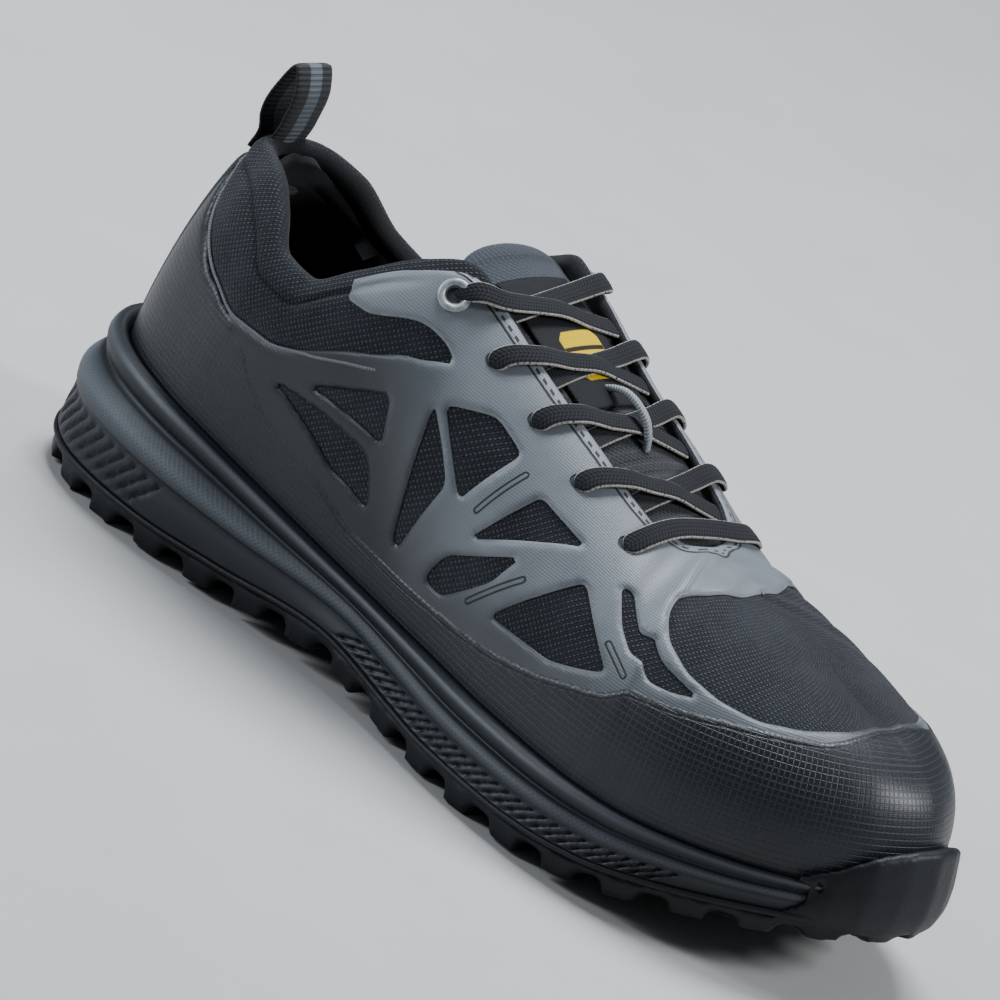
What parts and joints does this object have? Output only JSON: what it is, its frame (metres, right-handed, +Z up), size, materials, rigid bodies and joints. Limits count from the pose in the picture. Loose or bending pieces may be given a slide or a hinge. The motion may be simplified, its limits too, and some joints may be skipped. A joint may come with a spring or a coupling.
{
  "type": "safety sneaker",
  "caption": "Low-cut lace-up safety sneaker for the right foot with a lugged rubber sole, ribbed foam midsole, caged knit upper, capped toe and heel pull loop.",
  "frame": {"origin": "middle of the sole's outline, on the floor that the shoe stands on", "axes": "+X from the heel to the toe, +Y to the inner (medial) side, +Z up"},
  "size_m": [0.2999, 0.1091, 0.1301],
  "materials": {
    "outsole_rubber": "satin moulded rubber",
    "midsole_foam": "satin moulded foam",
    "lining": "brushed textile lining",
    "knit_mesh": "woven mesh with small light dots",
    "ripstop_film": "slate grey ripstop film with a soft sheen",
    "dark_film": "near-black ripstop film with a soft sheen",
    "label_yellow": "plain woven label",
    "lace": "flat woven lace with pale edge threads",
    "keeper_cord": "pale grey cord",
    "eyelet_metal": "light grey painted ring",
    "webbing": "black webbing with a grey middle stripe"
  },
  "bodies": {
    "root": {"outsole": "outsole_rubber", "midsole": "midsole_foam", "insole": "lining", "upper": "knit_mesh", "heel_counter": "dark_film", "mudguard": "dark_film", "cage": "ripstop_film", "tongue": "knit_mesh", "tongue_label": "label_yellow", "lace_crossing_1": "lace", "lace_crossing_2": "lace", "lace_crossing_3": "lace", "lace_crossing_4": "lace", "lace_bar": "lace", "lace_keeper": "keeper_cord", "eyelet_lateral": "eyelet_metal", "eyelet_medial": "eyelet_metal", "pull_loop": "webbing"}
  },
  "joints": []
}
